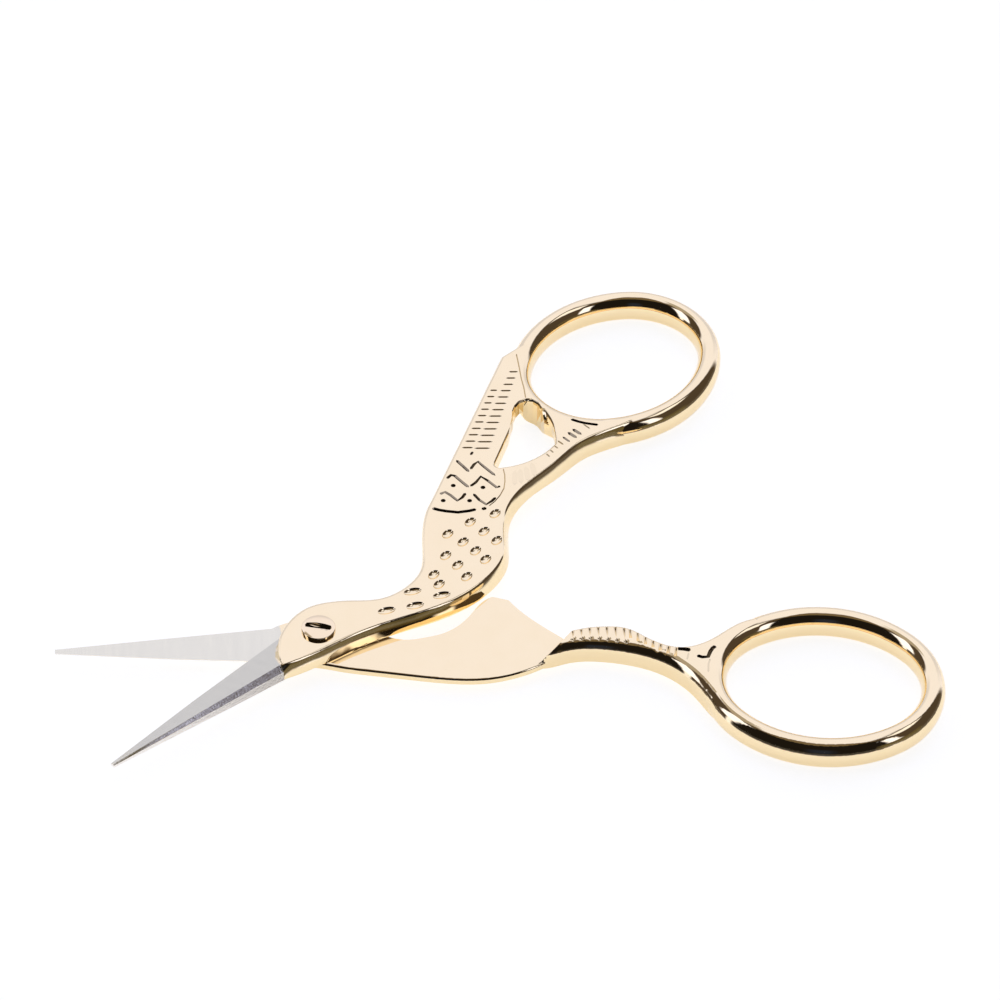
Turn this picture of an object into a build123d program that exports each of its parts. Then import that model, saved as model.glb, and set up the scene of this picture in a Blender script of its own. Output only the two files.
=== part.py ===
from build123d import *
import os
from math import asin, atan2, cos, degrees, radians, sin

os.makedirs("parts", exist_ok=True)

# Embroidery scissors in the shape of a stork, in three pieces: a lower half, an upper half and
# the pivot screw that joins them. The origin is on the pivot axis, at the height that the scissors
# lie on. +Z runs up the screw, +X from the blade tips through the pivot towards the finger bows.
# Each half is drawn closed, in that frame, and the upper half is then opened about the pivot.

# Driving dimensions, in millimetres and degrees
blade_reach = 27.7
bow_reach = 53.2
upper_bow_extension = 0.5
rest_opening = 37.1
bows_lean = 0.91

# The finger bows are bent from one oval wire section, higher than it is wide
finger_hole_length = 20.3
finger_hole_width = 16.8
wire_width = 2.55
wire_height = 3.5
closed_bow_gap = 0.1
lower_bow_turn = -10.9
upper_bow_turn = 5.7
# Place of the small arc's centre along the half length of the oval centreline
oval_centre_share = 0.24

# The halves are lapped at mid height, and run on each other with this gap
lap_gap = 0.03
belly_plate_thickness = 0.75
belly_near_round = 0.3
leg_thickness = 2.75
step_run = 1.1
boss_radius = 2.0
body_draft_inset = 0.55
body_draft_height = 1.5
body_near_round = 0.4
body_far_round = 0.5
window_edge_round = 0.4
leg_near_round = 1.3
leg_far_round = 0.35

# Blades: widths are measured across the flat inner face
blade_runout_reach = 4.0
blade_root_inset = 3.0
blade_middle_reach = 15.5
blade_runout_width = 4.4
blade_root_width = 5.3
blade_middle_width = 3.1
blade_tip_width = 0.6
blade_runout_thickness = 0.4
blade_root_thickness = 1.72
blade_tip_thickness = 0.42
edge_land = 0.1

# Pivot screw
screw_shank_diameter = 2.0
screw_running_clearance = 0.03
screw_head_gap = 0.02
screw_head_diameter = 3.6
screw_rim_height = 0.34
screw_dome_height = 0.2
screw_head_round = 0.1
screw_slot_length = 2.9
screw_slot_width = 0.7
screw_slot_depth = 0.34
screw_slot_turn = -21.5
screw_end_recess = 0.12

# Ornament
window_corner_round = 0.55
neck_dimple_length = 1.95
body_dimple_length = 1.55
dimple_width = 1.05
dimple_depth = 0.3
rib_pitch = 0.9
rib_radius = 0.5
crest_flat_share = 0.25
full_groove_count = 7
fading_groove_count = 7
fading_groove_length = 2.6
fading_groove_tilt = 7.0
fading_groove_turn = -12.0

# Outlines, as shares of the reach of the bows along and across the closed scissors
upper_near_shares = [
    (-0.124, -0.037), (-0.042, -0.055), (0.038, -0.064), (0.141, -0.089), (0.220, -0.112),
    (0.296, -0.121), (0.370, -0.110), (0.423, -0.083), (0.461, -0.041), (0.508, 0.008),
    (0.556, 0.032), (0.686, 0.053), (0.754, 0.064), (0.810, 0.058), (0.865, 0.046),
    (0.921, 0.040), (0.977, 0.042),
]
upper_neck_shares = [
    (0.414, 0.144), (0.378, 0.121), (0.340, 0.085), (0.301, 0.038), (0.264, 0.002),
    (0.226, -0.013), (0.188, -0.016), (0.150, -0.007), (0.102, 0.028), (0.070, 0.050),
    (0.030, 0.066), (-0.028, 0.060), (-0.069, 0.038), (-0.098, 0.007), (-0.124, -0.037),
]
tail_corner_share = (0.806, 0.381)
tail_root_share = (0.874, 0.383)
upper_core_share = (0.945, 0.205)
window_top_share = (0.760, 0.252)
window_left_share = (0.570, 0.133)
window_right_share = (0.714, 0.106)
window_back_share = (0.762, 0.200)
window_sill_share = (0.645, 0.101)
heel_start_share = 0.60
heel_end_share = 0.93
heel_drop_share = 0.33

lower_near_shares = [
    (-0.100, -0.046), (-0.050, -0.055), (-0.005, -0.061), (0.044, -0.076), (0.097, -0.089),
    (0.155, -0.102), (0.213, -0.115),
    (0.272, -0.125), (0.320, -0.127), (0.362, -0.121), (0.411, -0.105), (0.446, -0.086),
    (0.472, -0.060),
]
plate_back_shares = [
    (0.482, -0.024), (0.451, 0.006), (0.414, 0.046), (0.382, 0.092),
]
plate_hollow_shares = [
    (0.350, 0.104), (0.323, 0.083), (0.302, 0.053), (0.281, 0.029), (0.240, 0.004),
    (0.210, -0.003), (0.184, -0.007), (0.150, -0.002), (0.102, 0.028), (0.070, 0.050),
    (0.030, 0.066), (-0.030, 0.065), (-0.065, 0.055), (-0.095, 0.040), (-0.100, -0.046),
]
leg_near_shares = [
    (0.426, -0.086), (0.457, -0.085), (0.484, -0.077), (0.526, -0.073), (0.564, -0.078),
    (0.620, -0.094), (0.662, -0.115), (0.699, -0.146), (0.726, -0.182), (0.750, -0.229),
    (0.778, -0.274), (0.816, -0.312), (0.862, -0.340),
]
leg_far_shares = [
    (0.860, -0.023), (0.808, -0.047), (0.771, -0.074), (0.742, -0.088), (0.714, -0.093),
    (0.686, -0.087), (0.658, -0.071), (0.639, -0.056), (0.620, -0.040), (0.600, -0.030),
    (0.564, -0.025), (0.530, -0.026), (0.505, -0.031), (0.474, -0.036),
]
lower_core_share = (0.945, -0.180)
step_near_share = (0.425, -0.098)
step_far_share = (0.484, -0.021)

# Knee: where the first and last full grooves and the last fading one cross the far edge
first_groove_share = (0.500, -0.050)
first_fading_share = (0.613, -0.040)
last_fading_share = (0.700, -0.096)

# Blade section: places across the width from the back, and through the thickness
blade_back_shares = (0.445, 0.445, 0.48, 0.95)
side_across_share = 0.06
side_up_share = 0.56
ridge_across_share = 0.17

# Dimple places: along, across, and the turn of each long axis in degrees
dimple_shares = [
    (0.482, 0.025), (0.428, 0.039), (0.431, 0.000), (0.433, -0.037), (0.371, 0.042),
    (0.379, 0.004), (0.381, -0.032), (0.380, -0.064), (0.327, -0.003), (0.327, -0.040),
    (0.319, -0.077), (0.273, -0.030), (0.263, -0.058), (0.247, -0.085), (0.210, -0.039),
    (0.188, -0.073), (0.136, -0.047),
]
neck_end_share = 0.26
neck_dimple_turn = -22.0
body_dimple_turn = 18.0

# Sizes worked out from the driving dimensions
split_height = wire_height / 2
top_height = wire_height
upper_bottom = split_height + lap_gap
plate_bottom = split_height - belly_plate_thickness
leg_bottom = top_height - leg_thickness
oval_half_length = (finger_hole_length + wire_width) / 2
oval_half_width = (finger_hole_width + wire_width) / 2
end_centre = oval_half_length * oval_centre_share
end_radius = oval_half_length - end_centre
side_rise = oval_half_width - end_radius
side_centre = (end_centre ** 2 - side_rise ** 2) / (2 * side_rise)
side_radius = oval_half_width + side_centre
side_half_angle = degrees(atan2(end_centre, side_centre))
head_radius = screw_head_diameter / 2
dome_radius = (head_radius ** 2 + screw_dome_height ** 2) / (2 * screw_dome_height)
overrun = wire_height


def bow_reach_across(turn):
    """How far a bow reaches from its centre, square to the closed centreline."""
    return side_radius + wire_width / 2 - side_centre * cos(radians(turn))


across_bows = bow_reach_across(lower_bow_turn) + bow_reach_across(upper_bow_turn) + closed_bow_gap
upper_bow_reach = bow_reach + upper_bow_extension
bow_half_angle = degrees(asin(across_bows / (bow_reach + upper_bow_reach)))
lower_bow_angle = bows_lean - bow_half_angle
upper_bow_angle = bows_lean + bow_half_angle


def place(share):
    """A point of the closed scissors, from shares of the reach of the bows."""
    return (share[0] * bow_reach, share[1] * bow_reach)


def bow_frame(reach, angle, turn):
    """Location of a finger bow: its centre and the turn of its long axis."""
    along = reach * cos(radians(angle))
    across = reach * sin(radians(angle))
    return Pos(along, across, split_height) * Rot(0, 0, turn)


def wire_arc(radius, start, span):
    """One arc of the bow's wire, swung about the arc's own centre."""
    section = Plane.XZ * Pos(radius, 0) * Ellipse(wire_width / 2, wire_height / 2)
    arc = revolve(section, Axis.Z, revolution_arc=span)
    return Rot(0, 0, start) * arc


def finger_bow():
    """Closed oval ring of wire, from four tangent arcs."""
    end_half_angle = 90 - side_half_angle
    right = Pos(end_centre, 0, 0) * wire_arc(end_radius, -end_half_angle, 2 * end_half_angle)
    top = Pos(0, -side_centre, 0) * wire_arc(side_radius, end_half_angle, 2 * side_half_angle)
    left = Rot(0, 0, 180) * right
    bottom = Rot(0, 0, 180) * top
    return right + top + left + bottom


def oval_core():
    """Prism inside the wire's centreline, which clears the plates out of the finger hole."""
    end_half_angle = 90 - side_half_angle
    right = Pos(end_centre, 0) * CenterArc((0, 0), end_radius, -end_half_angle, 2 * end_half_angle)
    top = Pos(0, -side_centre) * CenterArc((0, 0), side_radius, end_half_angle, 2 * side_half_angle)
    left = Rot(0, 0, 180) * right
    bottom = Rot(0, 0, 180) * top
    face = make_face(right + top + left + bottom)
    return extrude(face, amount=overrun, both=True)


def blade():
    """Upper blade: flat inner face, ridge near the back and a long facet to the cutting edge."""
    middle_thickness = (blade_root_thickness + blade_tip_thickness) / 2
    reaches = (-blade_runout_reach, blade_root_inset, blade_middle_reach, blade_reach)
    widths = (blade_runout_width, blade_root_width, blade_middle_width, blade_tip_width)
    thicknesses = (blade_runout_thickness, blade_root_thickness, middle_thickness,
                   blade_tip_thickness)
    faces = []
    for reach, width, thickness, share in zip(reaches, widths, thicknesses, blade_back_shares):
        back = -width * share
        front = back + width
        points = [
            (-reach, back, upper_bottom),
            (-reach, back + width * side_across_share, upper_bottom + thickness * side_up_share),
            (-reach, back + width * ridge_across_share, upper_bottom + thickness),
            (-reach, front, upper_bottom + edge_land),
            (-reach, front, upper_bottom),
        ]
        faces.append(make_face(Polyline(*points, close=True)))
    return loft(faces, ruled=True)


def upper_outline():
    near = Spline(*[place(share) for share in upper_near_shares])
    neck = Spline(*[place(share) for share in upper_neck_shares])
    inner = Polyline(near @ 1, place(upper_core_share), place(tail_root_share),
                     place(tail_corner_share), neck @ 0)
    return make_face(near + inner + neck)


def window_face():
    """Outline of the opening between the wing, the leg and the bow, with round corners."""
    side = Line(place(window_left_share), place(window_top_share))
    back = ThreePointArc(side @ 1, place(window_back_share), place(window_right_share))
    sill = ThreePointArc(back @ 1, place(window_sill_share), side @ 0)
    face = make_face(side + back + sill)
    return fillet(face.vertices(), window_corner_round)


def window():
    return Pos(0, 0, split_height - overrun) * extrude(window_face(), amount=2 * overrun)


def in_window(edge):
    """True for an edge whose middle is within a corner's round of the window."""
    middle = edge @ 0.5
    return window_face().distance_to(Vertex(middle.X, middle.Y, 0)) < window_corner_round


def spindle(length, width, depth):
    """Cutter for a lens-shaped pit of this length, width and depth, laid on the plane z = 0."""
    radius = ((width / 2) ** 2 + depth ** 2) / (2 * depth)
    half_length = length / 2 * radius / (width / 2)
    half = Pos(0, 0) * Ellipse(half_length, radius) & Pos(0, radius) * Rectangle(2 * half_length, 2 * radius)
    return Pos(0, 0, radius - depth) * revolve(half, Axis.X)


def dimples():
    """Oval punch marks along the neck and body."""
    cuts = []
    for share in dimple_shares:
        along, across = place(share)
        on_neck = share[0] < neck_end_share
        turn = neck_dimple_turn if on_neck else body_dimple_turn
        length = neck_dimple_length if on_neck else body_dimple_length
        cut = spindle(length, dimple_width, dimple_depth)
        cuts.append(Pos(along, across, top_height) * Rot(0, 0, turn) * cut)
    return cuts


def screw_bore():
    radius = screw_shank_diameter / 2 + screw_running_clearance
    return Pos(0, 0, split_height) * Cylinder(radius, 2 * overrun)


def upper_heel():
    """Below the upper leg the metal slopes from half height down into the bow."""
    start = heel_start_share * bow_reach
    end = heel_end_share * bow_reach
    low = split_height - wire_height * heel_drop_share
    profile = make_face(Polyline((start, 0, upper_bottom), (end, 0, low),
                                 (end, 0, upper_bottom), close=True))
    across = upper_near_shares[-2][1] * bow_reach + wire_width
    wedge = extrude(profile, amount=across, dir=(0, 1, 0))
    foot = Pos(0, 0, -overrun) * extrude(upper_outline(), amount=2 * overrun)
    return wedge & foot


def upper_plate():
    """Flat plate of the upper half: its near wall leans outwards, its other top edges are round."""
    blank = Pos(0, 0, upper_bottom) * extrude(upper_outline(), amount=top_height - upper_bottom)
    top_edges = blank.edges().group_by(Axis.Z)[-1].sort_by(Axis.Y)
    top_face = blank.faces().sort_by(Axis.Z)[-1]
    near = chamfer(top_edges[0], body_draft_inset, body_draft_height, reference=top_face)
    near = fillet(near.edges().group_by(Axis.Z)[-1].sort_by(Axis.Y)[0], body_near_round)
    far = fillet(top_edges[1:], body_far_round)
    return near & far


def upper_half():
    plate = upper_plate()
    plate = plate - window()
    rim = plate.edges().filter_by_position(Axis.Z, top_height, top_height)
    plate = fillet([edge for edge in rim if in_window(edge)], window_edge_round)
    frame = bow_frame(upper_bow_reach, upper_bow_angle, upper_bow_turn)
    plate = plate + upper_heel() - frame * oval_core()
    body = plate + frame * finger_bow() + blade()
    body = body - screw_bore()
    for cut in dimples():
        body = body - cut
    return Rot(0, 0, rest_opening) * body


def lower_blade():
    """The lower blade is the upper one turned over about the closed centreline."""
    turned = Pos(0, 0, split_height) * Rot(180, 0, 0) * Pos(0, 0, -split_height) * blade()
    return Pos(0, 0, lap_gap) * turned


def belly_plate():
    near = Spline(*[place(share) for share in lower_near_shares])
    back = Spline(*[place(share) for share in plate_back_shares])
    hollow = Spline(*[place(share) for share in plate_hollow_shares])
    sides = near + Line(near @ 1, back @ 0) + back + Line(back @ 1, hollow @ 0) + hollow
    plate = Pos(0, 0, plate_bottom) * extrude(make_face(sides), amount=belly_plate_thickness)
    near_edge = plate.edges().group_by(Axis.Z)[-1].sort_by(Axis.Y)[0]
    return fillet(near_edge, belly_near_round)


def leg_outline():
    near = Spline(*[place(share) for share in leg_near_shares])
    far = Spline(*[place(share) for share in leg_far_shares])
    bow_side = Polyline(near @ 1, place(lower_core_share), far @ 0)
    return make_face(near + bow_side + far + Line(far @ 1, near @ 0))


def knee_step():
    """Ramp cut: the leg rises from the plate to its full height over a short slope."""
    near_x, near_y = place(step_near_share)
    far_x, far_y = place(step_far_share)
    turn = degrees(atan2(far_y - near_y, far_x - near_x))
    rise = top_height - split_height
    slope = make_face(Polyline((0, 0, 0), (0, -step_run, rise), (0, -step_run, rise + overrun),
                               (0, overrun, rise + overrun), (0, overrun, 0), close=True))
    cut = extrude(slope, amount=3 * overrun, both=True, dir=(1, 0, 0))
    return Pos(near_x, near_y, split_height) * Rot(0, 0, turn) * cut


def groove(length):
    """The cut between two neighbouring ribs: what lies above their round crests."""
    flat_half = rib_pitch * crest_flat_share
    lift = rib_radius - (rib_radius ** 2 - flat_half ** 2) ** 0.5
    space = Pos(0, 0) * Rectangle(rib_pitch - 2 * flat_half, 2 * rib_radius)
    for side in (-1, 1):
        space = space - Pos(side * rib_pitch / 2, lift - rib_radius) * Circle(rib_radius)
    return extrude(Plane.XZ * space, amount=length / 2, both=True)


def knee_grooves():
    """Grooves right across the knee, then shorter ones that fade towards the near side."""
    cuts = []
    start_x, start_y = place(first_groove_share)
    for index in range(full_groove_count):
        cuts.append(Pos(start_x + index * rib_pitch, start_y, top_height) * groove(2 * overrun))
    near_x, near_y = place(first_fading_share)
    far_x, far_y = place(last_fading_share)
    for index in range(fading_groove_count):
        step = index / (fading_groove_count - 1)
        along = near_x + (far_x - near_x) * step
        across = near_y + (far_y - near_y) * step
        cut = Rot(fading_groove_tilt, 0, 0) * groove(fading_groove_length)
        cuts.append(Pos(along, across, top_height) * Rot(0, 0, fading_groove_turn * step) * cut)
    return cuts


def lower_half():
    plate = belly_plate()
    boss = Cylinder(boss_radius, split_height, align=(Align.CENTER, Align.CENTER, Align.MIN))
    leg = Pos(0, 0, leg_bottom) * extrude(leg_outline(), amount=leg_thickness)
    long_edges = leg.edges().group_by(Axis.Z)[-1].filter_by(GeomType.BSPLINE).sort_by(Axis.Y)
    leg = fillet(long_edges[-1], leg_far_round)
    near_edge = leg.edges().group_by(Axis.Z)[-1].filter_by(GeomType.BSPLINE).sort_by(Axis.Y)[0]
    leg = fillet(near_edge, leg_near_round) - knee_step()
    for cut in knee_grooves():
        leg = leg - cut
    frame = bow_frame(bow_reach, lower_bow_angle, lower_bow_turn)
    leg = leg - frame * oval_core() + frame * finger_bow()
    body = plate + boss + lower_blade() + leg
    bore = Cylinder(screw_shank_diameter / 2, 2 * overrun)
    return body - bore


def screw_head():
    """Low domed head with a short upright rim."""
    crown = screw_rim_height + screw_dome_height
    disc = Cylinder(head_radius, crown, align=(Align.CENTER, Align.CENTER, Align.MIN))
    head = disc & Pos(0, 0, crown - dome_radius) * Sphere(dome_radius)
    wall = head.faces().filter_by(GeomType.CYLINDER)[0]
    upper_rim = wall.edges().filter_by(GeomType.CIRCLE).sort_by(Axis.Z)[-1]
    return fillet(upper_rim, screw_head_round)


def pivot_screw():
    seat = top_height + screw_head_gap
    shank = Pos(0, 0, screw_end_recess) * Cylinder(
        screw_shank_diameter / 2, seat - screw_end_recess,
        align=(Align.CENTER, Align.CENTER, Align.MIN))
    head = Pos(0, 0, seat) * screw_head()
    crown = seat + screw_rim_height + screw_dome_height
    slot = spindle(screw_slot_length, screw_slot_width, screw_slot_depth)
    slot = Pos(0, 0, crown) * Rot(0, 0, screw_slot_turn) * slot
    return head + shank - slot


pieces = {
    "upper_half": upper_half(),
    "lower_half": lower_half(),
    "pivot_screw": pivot_screw(),
}
for name, piece in pieces.items():
    print(name, len(piece.solids()), round(piece.volume, 2))
    export_step(piece, f"parts/{name}.step")
print("bow angles", round(lower_bow_angle, 2), round(upper_bow_angle, 2))
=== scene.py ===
import math

import bmesh
import bpy
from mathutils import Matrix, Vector

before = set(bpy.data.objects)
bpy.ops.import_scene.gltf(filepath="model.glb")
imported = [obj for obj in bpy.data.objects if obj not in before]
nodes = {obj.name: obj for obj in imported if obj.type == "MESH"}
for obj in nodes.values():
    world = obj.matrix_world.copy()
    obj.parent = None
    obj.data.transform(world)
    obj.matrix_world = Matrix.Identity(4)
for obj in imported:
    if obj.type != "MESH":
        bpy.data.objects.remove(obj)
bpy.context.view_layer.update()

scene = bpy.context.scene

# The camera stands where the photograph was taken from: long lens, no roll, turned a little
CAMERA_ELEVATION = math.radians(42.9)
CAMERA_TURN = math.radians(3.8)
CAMERA_DISTANCE = 0.5838
CAMERA_LENS = 194.4
SENSOR_WIDTH = 36
TARGET = (0.02045, 0.02058, 0.00169)

# Lengths of the engraving are in millimetres; the objects are in metres
MM = 0.001
# Height of the flat tops of the halves, and of the crown of the screw
PLATE_TOP = 3.5
SCREW_TOP = 4.06
# Turn of the upper half from closed to the pose of the photograph
OPENING = math.radians(37.1)

# Plating and steel, each as the two ends of a slight drift in colour
PLATE_GOLD = ((0.97, 0.775, 0.45, 1), (1.0, 0.81, 0.49, 1))
SCREW_GOLD = ((0.95, 0.74, 0.44, 1), (0.99, 0.79, 0.50, 1))
STEEL = ((0.76, 0.70, 0.52, 1), (0.83, 0.765, 0.56, 1))
# Painted shade in the engraved grooves, the punched dots, the screw's slot and the window's walls
# and rim
GROOVE_PAINTED_SHADE = (0.05, 0.034, 0.022, 1)
# The steep facets of the blades are painted paler, a painted highlight: upward part of the normal
# where the change runs
STEEL_SIDES_PAINTED_HIGHLIGHT = (0.93, 0.87, 0.76, 1)
FACET_SLOPE = (0.62, 0.80)

# Bare steel starts beyond a circle about the boss, given by its centre and radius for each half.
# Its edge is soft from one distance outside the circle to the next, and ragged by a little.
# Steel also ends at a line across the closed blades, where X lies between two values
UPPER_BOSS = ((-1.0, -2.4), 5.35)
LOWER_BOSS = ((-1.0, 2.4), 3.0)
BOSS_EDGE = (0.05, 0.25)
BOSS_RAGGED = 0.3
STEEL_LINE = (-2.6, -2.2)

# Engraved strokes: points along them, width and depth. They thin to a point over a share of the
# first and the last length
STROKE_TAPER = 0.2
WING_STROKES = (
    (((16.0, 25.3), (16.6, 24.4), (17.3, 23.3)), 0.36, 0.17),
    (((17.45, 23.7), (17.9, 24.5), (18.35, 24.9), (18.9, 24.1), (20.1, 22.5)), 0.34, 0.17),
    (((14.8, 22.4), (15.3, 22.95), (15.7, 22.8), (16.4, 21.8), (17.1, 20.85)), 0.36, 0.17),
    (((17.25, 21.0), (17.9, 21.6), (18.5, 22.5), (19.2, 21.8), (20.1, 20.65), (20.5, 20.85)),
     0.34, 0.17),
    (((13.9, 20.0), (14.5, 20.3), (15.1, 19.7), (15.75, 18.85), (16.3, 19.3), (16.7, 20.0)),
     0.36, 0.17),
    (((17.5, 19.85), (18.1, 18.8), (18.8, 18.05), (19.4, 18.5), (19.9, 19.1)), 0.34, 0.17),
    (((12.95, 17.85), (13.7, 17.5), (14.5, 17.25), (15.7, 17.0), (16.9, 17.15), (17.7, 17.35)),
     0.44, 0.19),
    (((18.25, 17.3), (18.8, 17.5)), 0.44, 0.20),
    (((21.0, 23.6), (21.1, 22.6), (21.05, 21.6), (20.85, 20.4), (20.4, 19.4), (19.75, 18.45),
      (19.05, 17.75)), 0.13, 0.06),
    (((23.7, 42.3), (23.8, 41.1), (23.9, 39.6), (23.98, 38.1), (24.15, 36.6), (24.24, 34.7)),
     0.15, 0.07),
    (((28.9, 31.1), (29.7, 30.65), (30.4, 30.35), (31.1, 30.15), (31.85, 29.96)), 0.38, 0.18),
    (((17.9, 26.55), (17.6, 26.0)), 0.30, 0.12),
)
LEG_STROKES = (
    (((28.95, 29.5), (29.9, 28.5)), 0.40, 0.20),
    (((28.4, 29.0), (29.35, 28.0)), 0.40, 0.20),
    (((27.8, 28.3), (28.55, 27.4)), 0.28, 0.12),
    (((27.15, 27.75), (27.85, 26.95)), 0.22, 0.05),
    (((26.65, 27.05), (27.2, 26.4)), 0.20, 0.04),
    (((26.2, 26.35), (26.65, 25.75)), 0.20, 0.035),
    (((25.75, 25.75), (26.2, 25.1)), 0.20, 0.03),
    (((30.1, 30.3), (30.95, 29.3)), 0.20, 0.03),
    (((24.1, 24.4), (24.4, 22.0)), 0.60, 0.06),
    (((23.45, 23.85), (23.6, 21.3)), 0.60, 0.06),
    (((22.8, 23.5), (22.8, 21.0)), 0.60, 0.06),
    (((22.25, 23.25), (22.05, 20.8)), 0.60, 0.06),
)
# Punched dots of the wing: their places, and their width and depth
WING_DOTS = ((15.44, 21.26), (18.62, 20.75), (14.22, 18.95), (17.05, 18.75))
DOT_SIZE = (0.55, 0.26)
DOT_SIDES = 10
# Two rows of feather ticks: both ends of the first and of the last, and how many there are.
# Each is lengthened about its middle
TICK_ROWS = (
    (((22.8, 39.32), (23.55, 39.28)), ((18.3, 27.06), (19.6, 26.98)), 13),
    (((20.5, 36.4), (21.1, 36.36)), ((16.9, 27.25), (17.8, 27.2)), 10),
)
TICK_SIZE = (0.24, 0.09)
TICK_STRETCH = 1.4
# Rounded top of the window beside the wing: its loop, its middle, and its rim as pairs of a
# height and the flare there. The flare grows from nothing along the sides of the loop
WINDOW_APEX = (
    (21.81, 28.66), (22.29, 30.8), (22.60, 31.76), (22.74, 32.75), (23.01, 33.53), (23.45, 34.2),
    (23.94, 34.47), (24.41, 34.55), (25.0, 34.4), (25.43, 33.97), (25.78, 33.15), (26.05, 31.93),
    (25.9, 30.34), (24.58, 28.47),
)
WINDOW_CENTRE = (24.4, 31.0)
WINDOW_RIM = ((5.0, 0.30), (3.55, 0.30), (3.42, 0.15), (3.25, 0.05), (3.0, 0.0), (-1.0, 0.0))
FLARE_START = 30.5
FLARE_RUN = 2.5
# The screw's slot, and the strokes beside the lower bow
SLOT_STROKES = ((((-1.45, 0.40), (-0.6, 0.18), (0.5, -0.1), (1.45, -0.36)), 0.85, 0.42),)
BOW_STROKES = (
    (((37.3, -5.32), (38.0, -5.45), (38.7, -5.68)), 0.55, 0.30),
    (((38.45, -6.0), (38.15, -7.1)), 0.20, 0.03),
    (((39.25, -6.5), (39.8, -6.78), (40.4, -6.76), (40.7, -6.0), (41.0, -5.5), (41.35, -5.22)),
     0.44, 0.24),
    (((40.6, -7.1), (40.35, -7.8), (40.2, -9.1)), 0.20, 0.03),
)

# How dark the painted shade in the grooves is: deep strokes, faint narrow ones, faint broad ones,
# and the rest
DEEP_STROKE = 0.1
BROAD_STROKE = 0.5
DEEP_TONE, FAINT_TONE, BROAD_TONE = 0.8, 0.3, 0.05
# The ticks, the dots and the screw's slot get painted shade, and so do the window's walls and rim
TICK_TONE, DOT_TONE, WINDOW_PAINTED_SHADE, SLOT_TONE = 0.5, 0.85, 0.12, 0.55
BOW_TONES = (0.75, 0.2, 0.8, 0.2)

# Seams of the CAD mesh closer than this, in metres, are closed before it is cut
WELD_REACH = 1e-7

# Light tent behind the panels
TENT = (0.97, 1.02, 1.36, 1.0)

# Floor, in metres: half its side. Its colour and glow to the camera, and otherwise. How its
# sheen rises with the facing angle
FLOOR_HALF = 1.5
FLOOR_SEEN, FLOOR_LIT = (0.30, 0.30, 0.30, 1), (0.8, 0.8, 0.8, 1)
GLOW_SEEN, GLOW_MIRRORED = 0.87, 0.62
SHEEN = (0.72, 0.84, 0.0, 0.95)
SHEEN_ROUGHNESS = 0.08


def make_camera():
    """Camera of the photograph, aimed at TARGET."""
    camera = bpy.data.objects.new("camera", bpy.data.cameras.new("camera"))
    scene.collection.objects.link(camera)
    across = CAMERA_DISTANCE * math.cos(CAMERA_ELEVATION)
    camera.location = (
        TARGET[0] - across * math.sin(CAMERA_TURN),
        TARGET[1] - across * math.cos(CAMERA_TURN),
        TARGET[2] + CAMERA_DISTANCE * math.sin(CAMERA_ELEVATION),
    )
    camera.rotation_euler = (math.pi / 2 - CAMERA_ELEVATION, 0, -CAMERA_TURN)
    camera.data.lens = CAMERA_LENS
    camera.data.sensor_width = SENSOR_WIDTH
    camera.data.clip_start = 0.01
    camera.data.clip_end = 10
    scene.camera = camera


class Tree:
    """A small helper to write node trees in one line per node."""

    def __init__(self, tree):
        self.tree = tree
        self.tree.nodes.clear()

    def node(self, kind, inputs=None, **settings):
        made = self.tree.nodes.new(kind)
        for name, value in settings.items():
            setattr(made, name, value)
        for key, value in (inputs or {}).items():
            socket = made.inputs[key]
            if isinstance(value, bpy.types.NodeSocket):
                self.tree.links.new(value, socket)
            else:
                socket.default_value = value
        return made

    def math(self, operation, first, second=0.0, third=0.0):
        made = self.node("ShaderNodeMath", {0: first, 1: second, 2: third}, operation=operation)
        return made.outputs[0]

    def ramp(self, value, low, high, out_low=0.0, out_high=1.0):
        made = self.node("ShaderNodeMapRange", {
            "Value": value, "From Min": low, "From Max": high,
            "To Min": out_low, "To Max": out_high,
        }, interpolation_type="SMOOTHSTEP")
        return made.outputs["Result"]

    def mix(self, factor, first, second):
        made = self.node("ShaderNodeMix", data_type="RGBA")
        for key, value in ((0, factor), (6, first), (7, second)):
            if isinstance(value, bpy.types.NodeSocket):
                self.tree.links.new(value, made.inputs[key])
            else:
                made.inputs[key].default_value = value
        return made.outputs[2]


def patch(tree, azimuth, elevation, around, heights, soft):
    """Mask of one studio panel: 1 between two azimuths and two elevations, in degrees."""
    parts = (
        tree.ramp(azimuth, around[0] - soft, around[0] + soft),
        tree.ramp(azimuth, around[1] - soft, around[1] + soft, 1.0, 0.0),
        tree.ramp(elevation, heights[0] - soft, heights[0] + soft),
        tree.ramp(elevation, heights[1] - soft, heights[1] + soft, 1.0, 0.0),
    )
    mask = parts[0]
    for part in parts[1:]:
        mask = tree.math("MULTIPLY", mask, part)
    return mask


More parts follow.
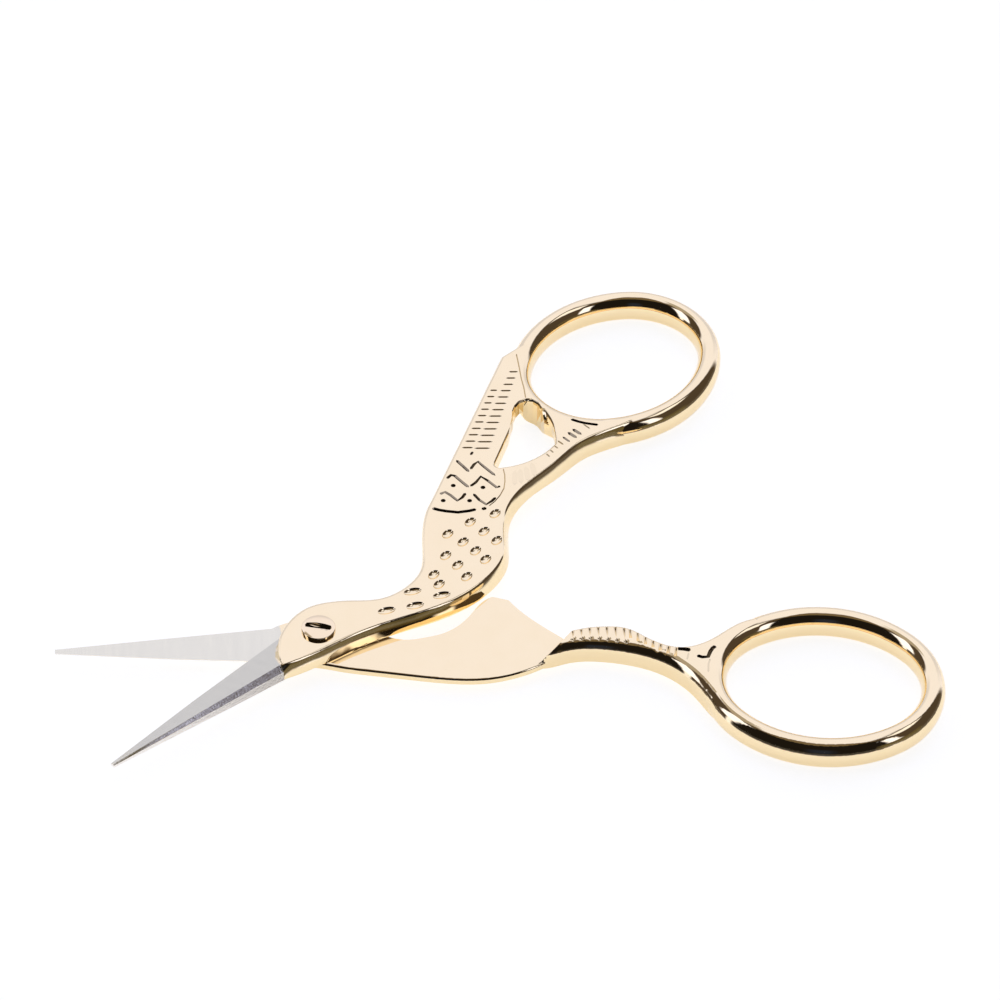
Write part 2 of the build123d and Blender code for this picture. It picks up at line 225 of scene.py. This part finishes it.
def make_world():
    """A light tent, open towards the photographer, with a soft lamp to each side of the opening."""
    world = bpy.data.worlds.new("studio")
    world.use_nodes = True
    scene.world = world
    tree = Tree(world.node_tree)
    direction = tree.node("ShaderNodeTexCoord").outputs["Generated"]
    turned = tree.node("ShaderNodeVectorRotate", {"Vector": direction, "Angle": CAMERA_TURN},
                       rotation_type="Z_AXIS")
    axes = tree.node("ShaderNodeSeparateXYZ", {0: turned.outputs[0]})
    away = tree.math("MULTIPLY", axes.outputs["Y"], -1.0)
    azimuth = tree.math("DEGREES", tree.math("ARCTAN2", axes.outputs["X"], away))
    elevation = tree.math("DEGREES", tree.math("ARCSINE", axes.outputs["Z"]))
    colour = TENT
    panels = (
        # around, heights, softness, colour
        ((-126, 126), (-20, 66), 4, (0.075, 0.058, 0.045, 1)),
        ((-150, -92), (50, 68), 3, (0.42, 0.39, 0.38, 1)),
        ((-82, 54), (55, 84), 5, (0.17, 0.135, 0.09, 1)),
        ((-76, 49), (-20, 61), 3, (0.012, 0.010, 0.009, 1)),
        ((-14, 4), (3, 26), 6, (0.020, 0.026, 0.050, 1)),
        ((38, 80), (-20, 11), 4, (0.125, 0.105, 0.055, 1)),
        ((140, 200), (-40, 22), 10, (0.74, 0.78, 1.04, 1)),
        ((-200, -140), (-40, 22), 10, (0.74, 0.78, 1.04, 1)),
        ((-97, -75), (12, 51), 2.5, (1.35, 1.45, 2.0, 1)),
        ((-84, -77), (-20, 14), 2, (1.15, 1.2, 1.5, 1)),
        ((46, 57), (12, 42), 2, (1.35, 1.45, 2.0, 1)),
        ((68, 112), (48, 61), 2.5, (1.15, 1.2, 1.5, 1)),
    )
    for around, heights, soft, panel in panels:
        mask = patch(tree, azimuth, elevation, around, heights, soft)
        colour = tree.mix(mask, colour, panel)
    path = tree.node("ShaderNodeLightPath")
    lit = tree.node("ShaderNodeBackground", {"Color": colour, "Strength": 1.0})
    seen = tree.node("ShaderNodeBackground", {"Color": (1, 1, 1, 1), "Strength": 1.0})
    mixed = tree.node("ShaderNodeMixShader", {
        0: path.outputs["Is Camera Ray"], 1: lit.outputs[0], 2: seen.outputs[0]})
    tree.node("ShaderNodeOutputWorld", {0: mixed.outputs[0]})


def make_floor():
    """Plain pale floor: white to the camera under a soft shadow, glossy at a low angle."""
    mesh = bpy.data.meshes.new("floor")
    low, high = -FLOOR_HALF, FLOOR_HALF
    mesh.from_pydata([(low, low, 0), (high, low, 0), (high, high, 0), (low, high, 0)],
                     [], [(0, 1, 2, 3)])
    floor = bpy.data.objects.new("floor", mesh)
    scene.collection.objects.link(floor)
    material = bpy.data.materials.new("floor")
    material.use_nodes = True
    tree = Tree(material.node_tree)
    path = tree.node("ShaderNodeLightPath")
    seen = path.outputs["Is Camera Ray"]
    tone = tree.mix(seen, FLOOR_LIT, FLOOR_SEEN)
    diffuse = tree.node("ShaderNodeBsdfDiffuse", {"Color": tone})
    glow = tree.math("MULTIPLY", seen, GLOW_SEEN)
    mirrored = tree.math("MULTIPLY", path.outputs["Is Glossy Ray"], GLOW_MIRRORED)
    emission = tree.node("ShaderNodeEmission", {
        "Color": (1, 1, 1, 1), "Strength": tree.math("ADD", glow, mirrored)})
    added = tree.node("ShaderNodeAddShader", {0: diffuse.outputs[0], 1: emission.outputs[0]})
    sheen = tree.node("ShaderNodeBsdfGlossy", {
        "Color": (1, 1, 1, 1), "Roughness": SHEEN_ROUGHNESS})
    facing = tree.node("ShaderNodeLayerWeight", {"Blend": 0.5}).outputs["Facing"]
    coated = tree.math("MULTIPLY", tree.ramp(facing, *SHEEN), path.outputs["Is Glossy Ray"])
    both = tree.node("ShaderNodeMixShader", {0: coated, 1: added.outputs[0], 2: sheen.outputs[0]})
    tree.node("ShaderNodeOutputMaterial", {0: both.outputs[0]})
    mesh.materials.append(material)


def polished(tree, place, low, high):
    """Polished plating: drifting colour and faint waviness, with painted shade where it is
    engraved.
    """
    cloud = tree.node("ShaderNodeTexNoise", {"Vector": place, "Scale": 420.0, "Detail": 3.0})
    plain = tree.mix(cloud.outputs[0], low, high)
    # The groove attribute of the cutters says how much painted shade each engraved face gets
    groove = tree.node("ShaderNodeAttribute", attribute_name="groove").outputs["Fac"]
    colour = tree.mix(groove, plain, GROOVE_PAINTED_SHADE)
    waves = tree.node("ShaderNodeTexNoise", {"Vector": place, "Scale": 700.0, "Detail": 1.0})
    bump = tree.node("ShaderNodeBump", {
        "Height": waves.outputs[0], "Strength": 0.04, "Distance": 0.0002})
    wear = tree.ramp(cloud.outputs[0], 0.35, 0.75, 0.035, 0.07)
    return tree.node("ShaderNodeBsdfPrincipled", {
        "Base Color": colour, "Metallic": 1.0, "Roughness": wear, "Normal": bump.outputs[0]})


def ground_steel(tree, place, turn):
    """Bare steel of the blades: flat facets with fine grinding streaks across them, and a painted
    highlight that makes the steep facets paler.
    """
    turned = tree.node("ShaderNodeVectorRotate", {"Vector": place, "Angle": turn},
                       rotation_type="Z_AXIS")
    stretched = tree.node("ShaderNodeMapping", {
        "Vector": turned.outputs[0], "Scale": (1.0, 0.12, 1.0)})
    streaks = tree.node("ShaderNodeTexNoise", {
        "Vector": stretched.outputs[0], "Scale": 5200.0, "Detail": 4.0})
    broad = tree.node("ShaderNodeTexNoise", {
        "Vector": stretched.outputs[0], "Scale": 1100.0, "Detail": 2.0})
    flat = tree.mix(broad.outputs[0], *STEEL)
    facet = tree.node("ShaderNodeNewGeometry").outputs["True Normal"]
    up = tree.node("ShaderNodeSeparateXYZ", {0: facet}).outputs["Z"]
    # Painted highlight: the steep facets get the paler colour
    colour = tree.mix(tree.ramp(up, *FACET_SLOPE), STEEL_SIDES_PAINTED_HIGHLIGHT, flat)
    bump = tree.node("ShaderNodeBump", {
        "Height": streaks.outputs[0], "Strength": 0.035, "Distance": 0.0002, "Normal": facet})
    rough = tree.ramp(streaks.outputs[0], 0.3, 0.7, 0.12, 0.22)
    return tree.node("ShaderNodeBsdfPrincipled", {
        "Base Color": colour, "Metallic": 1.0, "Roughness": rough, "Normal": bump.outputs[0]})


def half_material(name, turn, centre, radius):
    """Gold plate, with bare steel on the blade; turn closes the half for the mask."""
    material = bpy.data.materials.new(name)
    material.use_nodes = True
    tree = Tree(material.node_tree)
    place = tree.node("ShaderNodeTexCoord").outputs["Object"]
    gold = polished(tree, place, *PLATE_GOLD)
    steel = ground_steel(tree, place, turn)
    closed = tree.node("ShaderNodeVectorRotate", {"Vector": place, "Angle": turn},
                       rotation_type="Z_AXIS")
    flat = tree.node("ShaderNodeMapping", {"Vector": closed.outputs[0], "Scale": (1.0, 1.0, 0.0)})
    away = tree.node("ShaderNodeVectorMath", {
        0: flat.outputs[0], 1: (centre[0] * MM, centre[1] * MM, 0.0)}, operation="DISTANCE")
    ragged = tree.node("ShaderNodeTexNoise", {"Vector": place, "Scale": 900.0, "Detail": 2.0})
    edge = tree.math("MULTIPLY_ADD", ragged.outputs[0], BOSS_RAGGED * MM, away.outputs["Value"])
    beyond = tree.ramp(edge, (radius + BOSS_EDGE[0]) * MM, (radius + BOSS_EDGE[1]) * MM)
    split = tree.node("ShaderNodeSeparateXYZ", {0: closed.outputs[0]})
    ahead = tree.ramp(split.outputs["X"], STEEL_LINE[0] * MM, STEEL_LINE[1] * MM, 1.0, 0.0)
    mask = tree.math("MULTIPLY", beyond, ahead)
    surface = tree.node("ShaderNodeMixShader", {0: mask, 1: gold.outputs[0], 2: steel.outputs[0]})
    tree.node("ShaderNodeOutputMaterial", {0: surface.outputs[0]})
    return material


def screw_material():
    """Gold plate of a slightly deeper colour."""
    material = bpy.data.materials.new("screw")
    material.use_nodes = True
    tree = Tree(material.node_tree)
    place = tree.node("ShaderNodeTexCoord").outputs["Object"]
    gold = polished(tree, place, *SCREW_GOLD)
    tree.node("ShaderNodeOutputMaterial", {0: gold.outputs[0]})
    return material


def cutter_stroke(points, width, depth):
    """Closed spindle along a stroke: a diamond section that thins to a point at both ends."""
    path = [Vector((x, y, 0)) for x, y in points]
    first = path[0].lerp(path[1], STROKE_TAPER)
    last = path[-1].lerp(path[-2], STROKE_TAPER)
    inner = [first] + path[1:-1] + [last]
    verts = [path[0]]
    for index, point in enumerate(inner):
        before = path[0] if index == 0 else inner[index - 1]
        after = path[-1] if index == len(inner) - 1 else inner[index + 1]
        ahead = (after - before).normalized()
        side = Vector((-ahead.y, ahead.x, 0)) * (width / 2)
        drop = Vector((0, 0, depth))
        verts += [point - side, point - drop, point + side, point + drop]
    verts.append(path[-1])
    faces = []
    for k in range(4):
        faces.append((0, 1 + (k + 1) % 4, 1 + k))
    for ring in range(len(inner) - 1):
        base = 1 + 4 * ring
        for k in range(4):
            faces.append((base + k, base + (k + 1) % 4, base + 4 + (k + 1) % 4, base + 4 + k))
    base = 1 + 4 * (len(inner) - 1)
    tip = len(verts) - 1
    for k in range(4):
        faces.append((base + k, base + (k + 1) % 4, tip))
    return verts, faces


def cutter_dot(place, width, depth):
    """Small double cone for a punched dot."""
    x, y = place
    verts = [Vector((x, y, -depth)), Vector((x, y, depth))]
    for k in range(DOT_SIDES):
        turn = 2 * math.pi * k / DOT_SIDES
        verts.append(Vector((x + width / 2 * math.cos(turn), y + width / 2 * math.sin(turn), 0)))
    faces = []
    for k in range(DOT_SIDES):
        here, there = 2 + k, 2 + (k + 1) % DOT_SIDES
        faces.append((0, there, here))
        faces.append((1, here, there))
    return verts, faces


def cutter_window():
    """Prism through the plate that rounds the window's apex, flared at the rim."""
    centre = Vector(WINDOW_CENTRE)
    count = len(WINDOW_APEX)
    verts, faces = [], []
    for height, flare in WINDOW_RIM:
        for place in WINDOW_APEX:
            out = (Vector(place) - centre).normalized()
            share = min(max(place[1] - FLARE_START, 0.0) / FLARE_RUN, 1.0)
            x, y = Vector(place) + out * flare * share
            verts.append(Vector((x, y, height - PLATE_TOP)))
    faces.append(tuple(range(count)))
    for ring in range(len(WINDOW_RIM) - 1):
        base = ring * count
        for k in range(count):
            here, there = base + k, base + (k + 1) % count
            faces.append((here, there, there + count, here + count))
    faces.append(tuple(reversed(range(len(verts) - count, len(verts)))))
    return verts, faces


def cutter_object(name, shapes, height, painted_shade):
    """One mesh of all the cutters of a node, kept out of the scene and used by a modifier."""
    mesh = bpy.data.meshes.new(name)
    verts, faces, dark = [], [], []
    for (some_verts, some_faces), tone in zip(shapes, painted_shade):
        offset = len(verts)
        dark += [tone] * len(some_faces)
        verts += [(v.x * MM, v.y * MM, (v.z + height) * MM) for v in some_verts]
        faces += [tuple(offset + i for i in face) for face in some_faces]
    mesh.from_pydata(verts, [], faces)
    # Each face keeps how much painted shade its groove gets in the material
    mesh.attributes.new("groove", "FLOAT", "FACE").data.foreach_set("value", dark)
    work = bmesh.new()
    work.from_mesh(mesh)
    bmesh.ops.recalc_face_normals(work, faces=work.faces)
    work.to_mesh(mesh)
    work.free()
    return bpy.data.objects.new(name, mesh)


def engrave(node, shapes, height, painted_shade):
    """Cut the shapes out of a CAD node with modifiers; the cutters turn with the node."""
    cutter = cutter_object(node.name + "_cutters", shapes, height, painted_shade)
    cutter.parent = node
    weld = node.modifiers.new("weld", "WELD")
    weld.merge_threshold = WELD_REACH
    cut = node.modifiers.new("engraving", "BOOLEAN")
    cut.use_self = True
    cut.operation = "DIFFERENCE"
    cut.solver = "EXACT"
    cut.object = cutter


def tick_strokes():
    """The feather ticks: each row runs evenly from its first tick to its last."""
    strokes = []
    for first, last, count in TICK_ROWS:
        for index in range(count):
            step = index / (count - 1)
            ends = []
            for here, there in zip(first, last):
                ends.append((here[0] + (there[0] - here[0]) * step,
                             here[1] + (there[1] - here[1]) * step))
            middle = tuple((a + b) / 2 for a, b in zip(*ends))
            longer = [tuple(m + (e - m) * TICK_STRETCH for e, m in zip(end, middle))
                      for end in ends]
            strokes.append(cutter_stroke(longer, *TICK_SIZE))
    return strokes


def groove_painted_shade(width, depth):
    """Painted shade of a stroke's groove: deep ones are dark, shallow ones are faint."""
    if depth > DEEP_STROKE:
        return DEEP_TONE
    return FAINT_TONE if width < BROAD_STROKE else BROAD_TONE


def engrave_upper(node):
    """All the engraving of the upper half, and the rounded top of its window."""
    strokes = WING_STROKES + LEG_STROKES
    shapes = [cutter_stroke(*stroke) for stroke in strokes]
    painted_shades = [groove_painted_shade(width, depth) for _, width, depth in strokes]
    ticks = tick_strokes()
    shapes += ticks
    painted_shades += [TICK_TONE] * len(ticks)
    shapes += [cutter_dot(dot, *DOT_SIZE) for dot in WING_DOTS]
    painted_shades += [DOT_TONE] * len(WING_DOTS)
    engrave(node, shapes + [cutter_window()], PLATE_TOP, painted_shades + [WINDOW_PAINTED_SHADE])


make_camera()
make_world()
make_floor()
upper, lower, screw = nodes["upper_half"], nodes["lower_half"], nodes["pivot_screw"]
materials = (
    (upper, half_material("gold_and_steel_upper", -OPENING, *UPPER_BOSS)),
    (lower, half_material("gold_and_steel_lower", 0.0, *LOWER_BOSS)),
    (screw, screw_material()),
)
for node, material in materials:
    node.data.materials.clear()
    node.data.materials.append(material)
engrave_upper(upper)
engrave(lower, [cutter_stroke(*stroke) for stroke in BOW_STROKES], PLATE_TOP, BOW_TONES)
engrave(screw, [cutter_stroke(*stroke) for stroke in SLOT_STROKES], SCREW_TOP, (SLOT_TONE,))
scene.view_settings.view_transform = "Standard"
